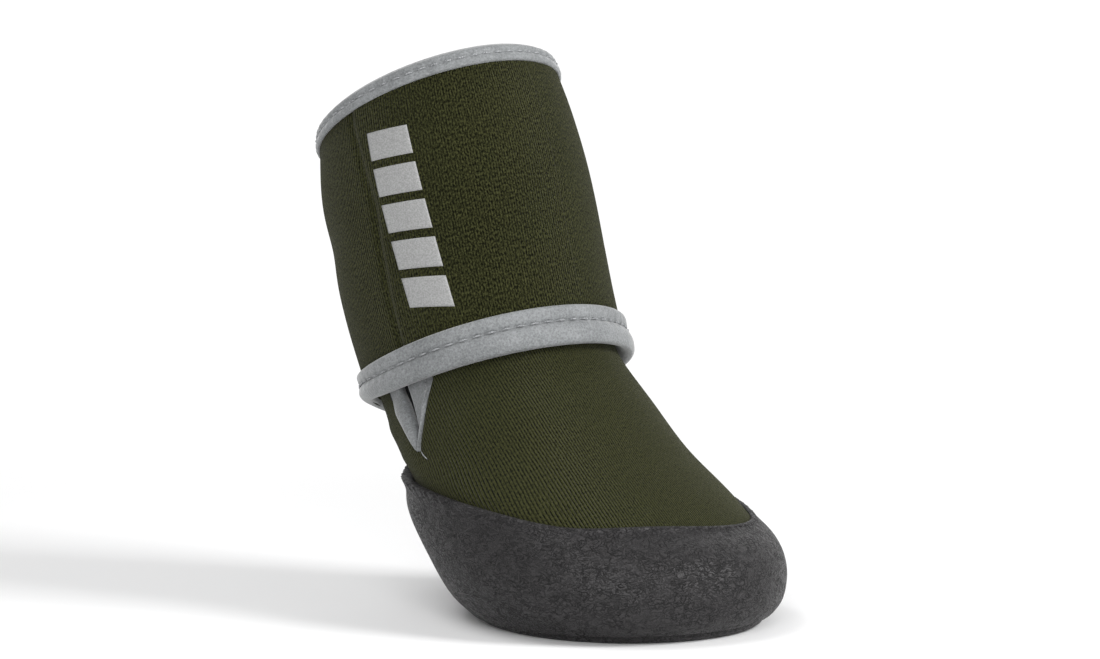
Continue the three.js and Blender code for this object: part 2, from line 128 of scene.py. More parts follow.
def surface(name, points, ring=False, round_columns=True, uv=None, keep=None):
    """A mesh of the quads between neighbouring points of a grid. The columns close into a round, and
    the rows too if ring is set. Points that coincide are merged, so a row of one point is a pole. Keep
    says which quads are made."""
    rows, columns = points.shape[:2]
    down = np.arange(rows if ring else rows - 1)
    side = np.arange(columns if round_columns else columns - 1)
    r, c = np.meshgrid(down, side, indexing="ij")
    corners = [(r, c), (r, c + 1), (r + 1, c + 1), (r + 1, c)]
    quads = np.stack([(i % rows) * columns + j % columns for i, j in corners], axis=-1).reshape(-1, 4)
    chosen = np.ones(len(quads), bool) if keep is None else keep[r, c].ravel()
    quads = quads[chosen]
    mesh = bpy.data.meshes.new(name)
    mesh.vertices.add(rows * columns)
    mesh.vertices.foreach_set("co", points.astype(np.float32).ravel())
    mesh.loops.add(quads.size)
    mesh.loops.foreach_set("vertex_index", quads.astype(np.int32).ravel())
    mesh.polygons.add(len(quads))
    mesh.polygons.foreach_set("loop_start", np.arange(0, quads.size, 4, dtype=np.int32))
    mesh.polygons.foreach_set("use_smooth", np.ones(len(quads), bool))
    if uv is not None:
        picked = np.stack([uv[i, j] for i, j in corners], axis=-2).reshape(-1, 4, 2)[chosen]
        mesh.uv_layers.new(name="UVMap").data.foreach_set("uv", picked.astype(np.float32).ravel())
    mesh.update(calc_edges=True)
    shell = bmesh.new()
    shell.from_mesh(mesh)
    bmesh.ops.remove_doubles(shell, verts=shell.verts, dist=1e-7)
    shell.to_mesh(mesh)
    shell.free()
    piece = bpy.data.objects.new(name, mesh)
    bpy.context.scene.collection.objects.link(piece)
    return piece


class Value:
    """A shader socket. The sums of its values are Math nodes."""

    def __init__(self, finish, socket):
        self.finish = finish
        self.socket = socket

    def math(self, operation, *others):
        """One Math node on this value and the others."""
        inputs = dict(enumerate([self, *others]))
        return self.finish.node("ShaderNodeMath", {"operation": operation}, inputs)

    def __add__(self, other):
        return self.math("ADD", other)

    def __mul__(self, other):
        return self.math("MULTIPLY", other)

    def __sub__(self, other):
        return self.math("SUBTRACT", other)

    def __rsub__(self, other):
        return self * -1 + other

    __radd__ = __add__
    __rmul__ = __mul__

    def sine(self):
        return self.math("SINE")

    def size(self):
        return self.math("ABSOLUTE")

    def step(self, low, high):
        """Nought below low, one above high, and a smooth ramp between them."""
        return self.finish.node("ShaderNodeMapRange", {"interpolation_type": "SMOOTHSTEP"},
                                {"Value": self, "From Min": low, "From Max": high})


class Finish:
    """One material, made node by node."""

    def __init__(self, name):
        self.material = bpy.data.materials.new(name)
        self.material.use_nodes = True
        self.tree = self.material.node_tree
        self.tree.nodes.clear()

    def node(self, kind, settings=None, sockets=None, out=0):
        """Any node, from its type, its settings, its sockets' values or links, and the output wanted."""
        made = self.tree.nodes.new(kind)
        for key, value in (settings or {}).items():
            setattr(made, key, value)
        for key, value in (sockets or {}).items():
            if isinstance(value, Value):
                self.tree.links.new(value.socket, made.inputs[key])
            else:
                made.inputs[key].default_value = value
        return Value(self, made.outputs[out])

    def place(self, scale=(1, 1, 1)):
        """Object coordinates, in metres, stretched by a scale."""
        at = self.node("ShaderNodeTexCoord", out="Object")
        return self.node("ShaderNodeMapping", sockets={"Vector": at, "Scale": scale})

    def noise(self, at, scale, detail=2.0, rough=0.5, bent=0.0):
        """Cloudy noise from nought to one, with so many lumps a metre, bent by a distortion."""
        return self.node("ShaderNodeTexNoise", sockets={
            "Vector": at, "Scale": scale, "Detail": detail, "Roughness": rough, "Distortion": bent})

    def mix(self, factor, low, high):
        """A colour between two, each a colour or a socket."""
        return self.node("ShaderNodeMix", {"data_type": "RGBA"}, {0: factor, 6: low, 7: high}, out=2)

    def bump(self, height, depth):
        """A normal from a height of nought to one that stands for a depth in metres."""
        sockets = {"Height": height, "Distance": depth, "Strength": 1.0}
        return self.node("ShaderNodeBump", sockets=sockets)

    def shade(self, colour, roughness, normal, **fixed):
        """The finished surface. What varies over it comes first, and the rest are fixed numbers."""
        names = {"specular": "Specular IOR Level", "sheen": "Sheen Weight", "sheen_rough": "Sheen Roughness",
                 "sheen_tint": "Sheen Tint"}
        sockets = {"Base Color": colour, "Roughness": roughness, "Normal": normal}
        sockets.update({names[key]: value for key, value in fixed.items()})
        return self.wear(self.node("ShaderNodeBsdfPrincipled", sockets=sockets))

    def wear(self, shader):
        """Makes a shader the material's surface."""
        out = self.tree.nodes.new("ShaderNodeOutputMaterial")
        self.tree.links.new(shader.socket, out.inputs["Surface"])
        return self.material


def around(columns):
    """Angles evenly spaced over one round, the first of them towards the toe."""
    return np.linspace(0, 2 * np.pi, columns, endpoint=False)


def rubber_finish():
    """Charcoal rubber with a grain like wrinkled leather. Its furrows are the lines where a bent noise
    crosses its middle value, so they wander and close on themselves. Two sets of them, broken up by patches,
    cross over a fine tooth. The furrows are sunk by the bump and darkened in colour, and that darkening is
    painted shade."""
    finish = Finish("rubber")
    at = finish.place((1, 1, 1.6))
    furrows = []
    for scale, width, shift in ((600.0, 0.07, 0.0), (980.0, 0.08, 3.7)):
        moved = finish.node("ShaderNodeVectorMath", {"operation": "ADD"}, {0: at, 1: (shift, shift, 0)})
        wander = finish.noise(moved, scale, 1.0, bent=0.9)
        line = 1 - (wander - 0.5).size().step(0.0, width)
        patches = finish.noise(moved, 0.4 * scale, 1.0).step(0.3, 0.62)
        furrows.append(line * (patches * 0.6 + 0.4))
    furrow = furrows[0].math("MAXIMUM", furrows[1] * 0.8)
    tooth = finish.noise(at, 3200.0, 1.0, 0.6)
    height = tooth * 0.3 - furrow * 0.8
    # The furrow term darkens the colour: painted shade, on top of the real shade from the furrows' bump.
    tone = 0.64 - furrow * 0.48 + (tooth - 0.5) * 0.8
    colour = finish.mix(tone.step(-0.1, 1.2), (0.003, 0.0028, 0.003, 1), (0.048, 0.0452, 0.0466, 1))
    rough = 0.37 + furrow * 0.3 + tooth * 0.08
    return finish.shade(colour, rough, finish.bump(height, 0.00034), specular=0.27)


rubber = rubber_finish()

# Where the wall starts to turn under, how high the rim's edge is, and the widths of that edge, of the
# tread pad and of the groove round the pad, as shares of the oval on the ground.
TURN = 6 * MM
EDGE_LIFT = 1.35 * MM
EDGE_SHARE = 1.02
PAD_SHARE = 0.925
RIM_SHARE = 0.946
RIM_ROWS = (
    # share of the ground oval, height in millimetres
    (0.95, 0.06),
    (0.975, 0.25),
    (0.998, 0.65),
    (EDGE_SHARE - 0.01, 1.1),
)
LIP_GAP = 0.06 * MM
LIP_FADE = 2.2 * MM
LIP_DIP = 0.7 * MM
LIP_DIPS = (
    # angle, half width in degrees, depth in millimetres
    (-140, 22, 1.4),
    (-55, 16, 0.6),
    (-20, 22, -0.6),
    (42, 28, 2.2),
)
HEEL_LIP = 1.5 * MM
HEEL_LIP_ANGLE = -140
HEEL_LIP_WIDE = 45
PUCKER = 0.08 * MM


def degrees_from(angle, turn):
    """How many degrees an angle lies beyond a direction, the short way round."""
    return np.degrees(np.angle(np.exp(1j * (angle - math.radians(turn)))))


def bell(angle, turn, wide):
    """One at an angle of so many degrees, falling off on both sides over a half width."""
    return np.exp(-(degrees_from(angle, turn) / wide) ** 2)


def lip_height(angle):
    """How high the cup's top edge is: the table's height less a dip, with bell-shaped dips in it at the
    heel, at the side and on the far side of the toe."""
    dips = sum(depth * MM * bell(angle, turn, wide) for turn, wide, depth in LIP_DIPS)
    return SOLE_HEIGHT - LIP_DIP - dips


def cup_wall(z, angle):
    """The outer wall. Just under the top edge it thins to a lip round the upper, thicker at the heel.
    Below the turn it bends under to the rim's lifted edge: with the share of the way up from there, the
    height goes as its square and the width as a quarter of a circle over it."""
    share = np.clip((np.asarray(z) - EDGE_LIFT) / (TURN - EDGE_LIFT), 0, 1) + 0 * angle
    height = EDGE_LIFT + (z - EDGE_LIFT) * share
    wall = oval(SOLE_ROWS, height, angle)
    thin = np.exp(-((lip_height(angle) - height) / LIP_FADE) ** 2)[..., None]
    thickness = SOLE_LIP + HEEL_LIP * bell(angle, HEEL_LIP_ANGLE, HEEL_LIP_WIDE)
    wall = wall + (oval(UPPER_ROWS, height, angle, thickness) - wall) * thin
    edge = oval(SOLE_ROWS, 0, angle) * EDGE_SHARE
    bend = np.sqrt(1 - (1 - share) ** 2)[..., None]
    turned = edge + (wall - edge) * bend
    turned[..., 2] = wall[..., 2]
    return turned


def pucker(z, angle):
    """Small uneven lumps along the cup's top edge, where the rubber meets the cloth: three sines of the
    angle that don't keep step, faded out below the edge."""
    lumps = np.sin(83 * angle) + np.sin(127 * angle + 2 * np.sin(9 * angle)) + 0.7 * np.sin(211 * angle + 1)
    return PUCKER * lumps * np.exp(-((lip_height(angle) - z) / (1.2 * MM)) ** 2)


def cup():
    """Rows of points round the boot. They run from the middle of the underside past the rim groove, up
    the rim and the outer wall, over a half-round lip, and down the inner wall to the floor."""
    angle = around(420)
    ground = oval(SOLE_ROWS, 0, angle)
    outward = np.stack([np.cos(angle), np.sin(angle), 0 * angle], axis=-1)

    def flat(share, z):
        row = ground * share
        row[:, 2] = z
        return row

    rows = [flat(share, TREAD_DEPTH) for share in (0, 0.5, PAD_SHARE, RIM_SHARE - 0.001)]
    rows += [flat(RIM_SHARE, TREAD_DEPTH), flat(RIM_SHARE, 0.3 * TREAD_DEPTH)]
    rows += [flat(RIM_SHARE + 0.004, 0.04 * MM)]
    rows += [flat(share, z * MM) for share, z in RIM_ROWS]
    top = lip_height(angle)
    heights = [EDGE_LIFT + (TURN - EDGE_LIFT) * share for share in np.linspace(0, 1, 14)[:-1] ** 1.7]
    heights += [TURN + (top - TURN) * share for share in np.linspace(0, 1, 48)]
    rows += [cup_wall(z, angle) + pucker(z, angle)[:, None] * outward for z in heights]
    outer, inner = rows[-1], oval(UPPER_ROWS, top, angle, LIP_GAP)
    for turn in np.linspace(0, np.pi, 8)[1:-1]:
        lip = inner + (outer - inner) * (0.5 + 0.5 * math.cos(turn))
        lip[:, 2] += 0.3 * SOLE_LIP * math.sin(turn)
        rows.append(lip)
    seat = UPPER_ROWS[0][0]
    down = top + (seat - top) * np.linspace(0, 1, 12)[:, None]
    rows += list(oval(UPPER_ROWS, down, angle, LIP_GAP))
    base = rows[-1]
    for share in (1, 0.97, 0.5, 0):
        row = base.mean(axis=0) + (base - base.mean(axis=0)) * share
        row[:, 2] = SOLE_FLOOR
        rows.append(row)
    return surface("outsole_cup", np.array(rows))


def tread_relief(x, y):
    """How far the tread is cut back at a point, in metres. Rows of zigzags cross the sole in two columns,
    with one long zigzag at each end. Each is a shallow bar between two sharp grooves."""
    reach = 0.5 * SOLE_LENGTH * 0.66
    inner = 0.1 * BALL_WIDTH
    rise = 0.2 * TREAD_PITCH
    rows = math.floor(reach / TREAD_PITCH)
    cut = np.zeros_like(x)
    for row in range(-rows, rows + 1):
        middle = row * TREAD_PITCH
        span = 0.37 * BALL_WIDTH * math.sqrt(1 - (middle / (reach * 1.16)) ** 2)
        spans = [(-span, span)] if abs(row) == rows else [(-span, -inner), (inner, span)]
        for start, end in spans:
            teeth = max(2, round((end - start) / (0.85 * TREAD_PITCH)))
            place = (y - start) / (end - start) * teeth
            zig = rise * (4 * np.abs((place / 2) % 1 - 0.5) - 1) * -1
            slope = 2 * rise * teeth / (end - start)
            away = np.abs(x - middle - zig) / math.hypot(1, slope)
            line = np.clip(1 - np.abs(away - 0.42 * TREAD_BAR) / (0.14 * TREAD_BAR), 0, 1)
            bar = np.clip((0.42 * TREAD_BAR - away) / (0.1 * TREAD_BAR), 0, 1)
            ends = np.clip(np.minimum(y - start, end - y) / (0.3 * MM), 0, 1)
            cut = np.maximum(cut, TREAD_DEPTH * ends * np.maximum(0.62 * line, 0.16 * bar))
    return cut


def tread():
    """The oval tread pad: a closed slab whose face follows the relief, standing in the rim groove."""
    angle = around(640)
    ground = oval(SOLE_ROWS, 0, angle)
    face = []
    for share in np.concatenate([np.linspace(0, PAD_SHARE - 0.004, 118), [PAD_SHARE]]):
        row = ground * share
        row[:, 2] = tread_relief(row[:, 0], row[:, 1])
        if share == PAD_SHARE:
            row[:, 2] = 0.15 * TREAD_DEPTH
        face.append(row)
    back = []
    for share, depth in ((PAD_SHARE, 0.4), (PAD_SHARE, 0.9), (0.5, 0.9), (0, 0.9)):
        row = ground * share
        row[:, 2] = TREAD_DEPTH * depth
        back.append(row)
    return surface("outsole_tread", np.array(face + back))


def dress(piece, node, slot_name, *materials):
    """Gives a piece its materials, and puts it on the boot's one body in place of a node. The slot name is
    not used.
    """
    for material in materials:
        piece.data.materials.append(material)
    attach(piece, "root")
    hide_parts(*([node] if isinstance(node, str) else node))
    return piece


dress(cup(), "outsole", "rubber", rubber)
dress(tread(), "outsole", "rubber", rubber)

# Insole. A loose pad of dark felt, cut to the foot and dropped into the cup inside the upper's edge.

INSOLE_THICKNESS = 2.4 * MM
INSOLE_PROFILE = (
    # share of the seat oval, share of the thickness
    (0, 0), (0.7, 0), (0.98, 0), (1, 0.08), (1, 0.6), (0.99, 0.85), (0.965, 0.98), (0.93, 1),
    (0.7, 0.94), (0.4, 0.9), (0, 0.88),
)


def felt_finish():
    """Dark grey felt: fine fibres as two noises, one of them stretched."""
    finish = Finish("felt")
    fuzz = finish.noise(finish.place(), 1500.0, 4.0, 0.7)
    hair = finish.noise(finish.place((1, 0.25, 0.6)), 2600.0, 2.0, 0.6)
    tone = (fuzz * 0.5 + hair * 0.5).step(0.3, 0.7)
    colour = finish.mix(tone, (0.016, 0.016, 0.018, 1), (0.05, 0.05, 0.054, 1))
    normal = finish.bump(fuzz * 0.6 + hair * 0.4, 0.0003)
    return finish.shade(colour, 0.95, normal, sheen=0.25, sheen_rough=0.6)


felt = felt_finish()


def insole():
    """Rings of the seat oval, shrunk inwards: flat below, with a rounded upper edge and a dished top."""
    angle = around(200)
    seat = oval(UPPER_ROWS, UPPER_ROWS[0][0], angle, -UPPER_WALL - GAP)
    rows = []
    for share, rise in INSOLE_PROFILE:
        row = seat * share
        row[:, 2] = SOLE_FLOOR + GAP + rise * INSOLE_THICKNESS
        rows.append(row)
    return surface("insole_pad", np.array(rows))


dress(insole(), "insole", "felt", felt)

# Upper. One wall of knit-faced foam, sewn to shape and lined, from the sole seat to the collar. Its
# ribs run down the instep to the toe, and a V slit opens it behind the ankle on the near side.

SLIT_ANGLE = -100
SLIT_WIDTH = 14.9 * MM
SLIT_DEPTH = 11.3 * MM
SLIT_HIDDEN = 12 * MM
SLIT_REAR_SHARE = 0.39
SLIT_REAR_BOW = 0.6
SLIT_FRONT_BOW = 1.15
HEM_BOTTOM = ANKLE_HEIGHT - 0.5 * HEM_HEIGHT
SLIT_TIP = HEM_BOTTOM - SLIT_DEPTH
SLIT_TOP = HEM_BOTTOM + SLIT_HIDDEN
INSTEP_SLOPE = math.radians(47)
INSTEP_MIDDLE = 7.9 * MM
INSTEP_RADIUS = 28 * MM


def slit_rise(z):
    """Nought at the slit's tip and one at the hem, from where the slit keeps its width."""
    return np.clip((np.asarray(z) - SLIT_TIP) / SLIT_DEPTH, 0, 1)


def slit_rear(z):
    """How far behind the slit's middle its rear edge is: a power of the rise, so that it bows."""
    return -SLIT_REAR_SHARE * SLIT_WIDTH * slit_rise(z) ** SLIT_REAR_BOW


def slit_front(z):
    """How far in front of the slit's middle its front edge is, bowed the other way."""
    return (1 - SLIT_REAR_SHARE) * SLIT_WIDTH * slit_rise(z) ** SLIT_FRONT_BOW


def slit_angle(length):
    """The angle of a point that is a length in front of the slit's middle, round the ankle."""
    return math.radians(SLIT_ANGLE) + np.asarray(length) / (0.5 * ANKLE_WIDTH)


def fold(z, angle, at, turn, tall, wide, slant, depth):
    """A soft trough, or a ridge if the depth is negative: a bell curve round a line that starts at a
    height and an angle and leans by the slant, in degrees a millimetre."""
    along = (z - at * MM) / (tall * MM)
    turned = degrees_from(angle, turn) - slant * (z - at * MM) / MM
    return -depth * MM * np.exp(-along**2 - (turned / wide) ** 2)


FOOT_FOLDS = (
    # height, angle, half height, half width in degrees, slant, depth; lengths in millimetres
    (33, -140, 4, 26, 0.5, 0.5),
    (39, -150, 3, 22, -0.6, -0.4),
    (31, 100, 5, 30, 0.8, 0.5),
    (36, 150, 3.5, 24, -0.5, 0.45),
    (37, 60, 7, 12, 1.0, 0.35),
    (36, -38, 8, 16, 0.4, -0.3),
)


def foot_drape(z, angle):
    """The folds of the foot, faded out inside the rubber cup and under the cuff."""
    folds = sum(fold(z, angle, *one) for one in FOOT_FOLDS)
    return folds * np.clip((z - SOLE_HEIGHT) / (5 * MM), 0, 1) * np.clip((HEM_BOTTOM - z) / (4 * MM), 0, 1)


def knit_uv(points):
    """Distances in metres: across the ribs, round a cylinder that lies along the instep, and along
    them, down the instep."""
    x, y, z = np.moveaxis(points, -1, 0)
    lift = x * math.sin(INSTEP_SLOPE) + z * math.cos(INSTEP_SLOPE) - INSTEP_MIDDLE
    return np.stack([INSTEP_RADIUS * np.arctan2(y, lift),
                     x * math.cos(INSTEP_SLOPE) - z * math.sin(INSTEP_SLOPE)], axis=-1)


def knit_finish(name, pitch, ribbed, dark, pale):
    """A knit face: ribs a pitch apart with thin dark gaps between them, painted shade, under a fine heather
    of dark and pale fibres. Ribbed says how much the ribs and the painted shade in their gaps show through
    the heather."""
    finish = Finish(name)
    uv = finish.node("ShaderNodeUVMap", {"uv_map": "UVMap"})
    side = finish.node("ShaderNodeSeparateXYZ", sockets={"Vector": uv}, out="X")
    along = finish.node("ShaderNodeSeparateXYZ", sockets={"Vector": uv}, out="Y")
    wander = finish.noise(finish.place(), 110.0, 2.0)
    across = side + wander * (0.7 * pitch)
    rib = ((across * (2 * math.pi / pitch)).sine() * 0.5 + 0.5).step(0.0, 0.7)
    flat = finish.node("ShaderNodeCombineXYZ", sockets={"X": side, "Y": along * 0.6, "Z": 0.0})
    fleck = finish.noise(flat, 3000.0, 2.0, 0.7)
    dust = finish.noise(finish.place(), 1900.0, 1.0, 0.5).step(0.66, 0.74)
    cloud = finish.noise(finish.place(), 60.0, 2.0)
    pile = rib * ribbed + fleck * 0.7
    # The rib term darkens the gaps between the ribs: painted shade.
    tone = (rib * (0.7 * ribbed) + (fleck - 0.5) * 4.8 + 0.2 + (cloud - 0.5) * 0.25) + dust * 0.6
    colour = finish.mix(tone.step(-0.35, 1.45), dark, pale)
    normal = finish.bump(pile, 0.00026)
    return finish.shade(colour, 0.95, normal, specular=0.06, sheen=0.1, sheen_rough=0.4,
                        sheen_tint=(0.85, 0.85, 0.7, 1))


KNIT_DARK = (0.0018, 0.0024, 0.0003, 1)
# The foot's pale colour is darker than the cuff's, though both are the same knit: painted shade on the foot.
FOOT_PALE_PAINTED_SHADE = (0.0405, 0.0425, 0.0152, 1)
knit = knit_finish("knit", 0.64 * MM, 1.15, KNIT_DARK, FOOT_PALE_PAINTED_SHADE)


def lining_finish():
    """Dark grey brushed lining with a faint loop pile."""
    finish = Finish("lining")
    loops = finish.node("ShaderNodeTexVoronoi", sockets={"Vector": finish.place(), "Scale": 1300.0})
    fuzz = finish.noise(finish.place(), 900.0, 3.0, 0.6)
    tone = (loops * 0.5 + fuzz * 0.5).step(0.2, 0.75)
    colour = finish.mix(tone, (0.05, 0.05, 0.055, 1), (0.017, 0.017, 0.02, 1))
    normal = finish.bump(loops * 0.6 + fuzz * 0.5, 0.00025)
    return finish.shade(colour, 0.95, normal, sheen=0.2, sheen_rough=0.6)


lining = lining_finish()


def upper():
    """The wall is a strip that runs from the slit's front edge round to its rear edge and back inside.
    Above and below the slit, the two edges meet and are merged. The strip flares a little at the slit."""
    columns = 300
    heights = np.concatenate([
        np.linspace(UPPER_ROWS[0][0], SOLE_HEIGHT, 14)[:-1],
        np.linspace(SOLE_HEIGHT, SLIT_TIP, 22)[:-1],
        SLIT_TIP + SLIT_DEPTH * np.linspace(0, 1, 34)[:-1] ** 1.3,
        np.linspace(HEM_BOTTOM, SLIT_TOP, 14),
        np.linspace(SLIT_TOP + 0.01 * MM, COLLAR_HEIGHT, 34),
    ])
    opened = heights <= SLIT_TOP
    opening = np.where(opened, slit_front(heights) - slit_rear(heights), 0)
    share = np.linspace(0, 1, columns)
    front = slit_angle(np.where(opened, slit_front(heights), 0))[:, None]
    rear = slit_angle(np.where(opened, slit_rear(heights), 0))[:, None] + 2 * np.pi
    angle = front + (rear - front) * share
    z = np.broadcast_to(heights[:, None], angle.shape)
    drape = foot_drape(z, angle)
    nearness = np.minimum(share, 1 - share)[None, :] * 2 * np.pi * 0.5 * ANKLE_WIDTH
    flare = 0.5 * MM * np.exp(-(nearness / (2.5 * MM)) ** 2) * (opening / SLIT_WIDTH)[:, None]
    flare = flare * np.clip((HEM_BOTTOM - z) / (3 * MM), 0, 1)
    outside = oval(UPPER_ROWS, z, angle, drape + flare)
    inside = oval(UPPER_ROWS, z, angle, drape - UPPER_WALL)
    points = np.concatenate([outside, inside[:, ::-1]], axis=1)
    closed = np.concatenate([points, points[:, :1]], axis=1)
    keep = np.ones((len(heights), 2 * columns), bool)
    shut = (opening == 0) & (np.roll(opening, -1) == 0)
    keep[shut, columns - 1] = False
    keep[shut, 2 * columns - 1] = False
    return surface("upper_knit", points, uv=knit_uv(closed), keep=keep)


def close_rims(piece):
    """Bridges the open edges at the top and the bottom of a wall, so that it is one closed body."""
    shell = bmesh.new()
    shell.from_mesh(piece.data)
    rims = [edge for edge in shell.edges if edge.is_boundary]
    for low in (True, False):
        chosen = [edge for edge in rims if (edge.verts[0].co.z < SOLE_HEIGHT) == low]
        bmesh.ops.bridge_loops(shell, edges=chosen)
    shell.to_mesh(piece.data)
    shell.free()


def line_inside(piece):
    """Gives the second material to the faces that look towards the middle of the shaft or foot."""
    mesh = piece.data
    count = len(mesh.polygons)
    centre, normal = np.zeros(count * 3), np.zeros(count * 3)
    mesh.polygons.foreach_get("center", centre)
    mesh.polygons.foreach_get("normal", normal)
    centre, normal = centre.reshape(-1, 3), normal.reshape(-1, 3)
    table = np.array(UPPER_ROWS)
    axis = np.stack([np.interp(centre[:, 2], table[:, 0], table[:, 1]), 0 * centre[:, 2]], axis=-1)
    facing = ((centre[:, :2] - axis) * normal[:, :2]).sum(axis=1)
    mesh.polygons.foreach_set("material_index", (facing < 0).astype(np.int32))


upper_piece = upper()
close_rims(upper_piece)
dress(upper_piece, "upper", "knit", knit, lining)
line_inside(upper_piece)

# Cuff. A panel of the same foam, wrapped round the shaft over the upper and fastened on itself. Its
# free edge makes a soft upright step left of the reflective print, and its ribs run up the shaft.

CUFF_WALL = 1.8 * MM
CUFF_INSIDE = GAP
CUFF_OUTSIDE = GAP + CUFF_WALL
CUFF_BOTTOM = ANKLE_HEIGHT + 0.04 * HEM_HEIGHT
CUFF_PALE = (0.046, 0.048, 0.0175, 1)
# The free edge's angles at five heights in millimetres.
WRAP_PLACES = ((58, 72, 80, 87, 98), (-87, -85.5, -84, -86.5, -91))
WRAP_STEP = 0.55 * MM
CUFF_FOLDS = (
    # as the foot's folds
    (92, -128, 9, 18, 0, -0.5),
    (80, -134, 6, 20, 0.4, 0.6),
    (66, -120, 9, 14, -0.5, -0.3),
    (96, 30, 8, 30, 0.3, -0.3),
    (70, 45, 12, 22, 0.5, -0.35),
    (60, 130, 5, 40, 0.9, 0.5),
    (84, 160, 8, 26, -0.7, 0.5),
    (72, 175, 6, 30, 0.8, -0.35),
)


def cuff_drape(z, angle):
    """The cuff's folds, and the step at its free edge: the lap lies a little higher in front of the
    edge and sinks back exponentially, with a thin bell-shaped trough along the edge."""
    folds = sum(fold(z, angle, *one) for one in CUFF_FOLDS)
    edge = np.radians(np.interp(z / MM, *WRAP_PLACES))
    turned = (angle - edge) % (2 * np.pi)
    lap = WRAP_STEP * np.exp(-turned / 0.9) * np.clip(turned / 0.05, 0, 1)
    trough = -0.5 * MM * np.exp(-(np.angle(np.exp(1j * (angle - edge))) / 0.035) ** 2)
    return folds + lap + trough


def shaft_uv(z, angle):
    """Distances in metres: round the shaft, across the ribs, and up it, along them."""
    round_shaft = angle * 0.25 * (ANKLE_LENGTH + ANKLE_WIDTH)
    return np.stack(np.broadcast_arrays(round_shaft, z / math.cos(math.radians(18))), axis=-1)


cuff_knit = knit_finish("cuff_knit", 0.52 * MM, 0.45, KNIT_DARK, CUFF_PALE)


def cuff():
    """A closed sleeve: up the draped outside from the hem to the collar, and down the plain inside."""
    columns = 360
    angle = np.linspace(0, 2 * np.pi, columns + 1)[None, :]
    heights = np.linspace(CUFF_BOTTOM, COLLAR_HEIGHT, 84)[:, None]
    rising = oval(UPPER_ROWS, heights, angle, CUFF_OUTSIDE + cuff_drape(heights, angle))
    falling = oval(UPPER_ROWS, heights, angle, CUFF_INSIDE)[::-1][::3]
    points = np.concatenate([rising, falling])
    z = np.concatenate([heights, heights[::-1][::3]])
    uv = shaft_uv(np.concatenate([z, z[:1]]), angle)
    return surface("cuff_knit", points[:, :-1], ring=True, uv=uv)


dress(cuff(), "cuff_wrap", "cuff_knit", cuff_knit)

# Reflective print. A column of plain silver blocks, heat-pressed on the cuff in front of its free
# edge, that shines back a lamp's light.

PRINT_BLOCKS = 5
PRINT_LOW = 56.9 * MM
PRINT_TALL = 5.9 * MM
PRINT_STEP = 7.65 * MM
PRINT_WIDE = 9.2 * MM
PRINT_FILM = 0.12 * MM
# The angle and the slant of the lowest block and of the top one.
PRINT_ANGLES = (-67.5, -72.5)
PRINT_SLANTS = (0.13, 0.09)


def print_finish():
    """Silver ink full of fine glass beads."""
    finish = Finish("reflective_print")
    beads = finish.noise(finish.place(), 3200.0, 2.0, 0.6)
    colour = finish.mix(beads.step(0.3, 0.7), (0.22, 0.222, 0.22, 1), (0.32, 0.322, 0.32, 1))
    return finish.shade(colour, 0.55, finish.bump(beads, 0.00004), specular=0.4)


def print_block(index):
    """A thin patch of the cuff's own surface. Its edge is rounded by a square root of the distance to
    the rim, and it slants with the print."""
    u, v = np.meshgrid(np.linspace(-1, 1, 25), np.linspace(-1, 1, 15))
    rise = index * PRINT_STEP + (0.5 + 0.5 * v) * PRINT_TALL
    share = rise / (PRINT_BLOCKS * PRINT_STEP)
    middle = np.radians(PRINT_ANGLES[0] + (PRINT_ANGLES[1] - PRINT_ANGLES[0]) * share)
    slant = PRINT_SLANTS[0] + (PRINT_SLANTS[1] - PRINT_SLANTS[0]) * share
    across = 0.5 * PRINT_WIDE * u
    angle = middle + across / (0.5 * ANKLE_WIDTH + CUFF_OUTSIDE)
    z = PRINT_LOW + rise - 2.2 * slant * across
    rim = np.minimum((1 - np.abs(u)) * PRINT_WIDE, (1 - np.abs(v)) * PRINT_TALL)
    lift = 0.03 * MM + 0.09 * MM * np.sqrt(np.clip(rim / (0.4 * MM), 0, 1))
    return oval(UPPER_ROWS, z, angle, CUFF_OUTSIDE + cuff_drape(z, angle) + lift)


def reflective_print():
    """The column of blocks, each given a film's thickness inwards."""
    material = print_finish()
    for index in range(PRINT_BLOCKS):
        block = surface(f"print_block_{index + 1}", print_block(index), round_columns=False)
        film = block.modifiers.new("thickness", "SOLIDIFY")
        film.thickness = PRINT_FILM
        film.offset = -1
        block.data.materials.append(material)
        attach(block, "root")


reflective_print()

# Hem binding. Grey reflective tape sewn round the cuff's hem: a flat upper strip on the cuff, a
# stitched waist, and a padded lower strip that rolls under the hem and stands off the foot.

HEM_PROUD = 1.6 * MM
HEM_STAND_OFF = 1.5 * MM
HEM_FACE = (
    # share of the hem's height, share of how far it stands proud
    (0, 0.3), (0.09, 0.78), (0.28, 1), (0.45, 0.82), (0.53, 0.55), (0.57, 0.28), (0.62, 0.5), (0.7, 0.62),
    (0.8, 0.64), (0.93, 0.62), (1, 0.3),
)
HEM_WAIST = 0.57
HEM_RISE = 1.8 * MM
HEM_RISE_ANGLE = -150
HEM_RISE_WIDE = 36
STITCH_LENGTH = 2.0 * MM
STITCH_PITCH = 2.7 * MM
STITCH_PULL = 0.16 * MM
THREAD = 0.42 * MM


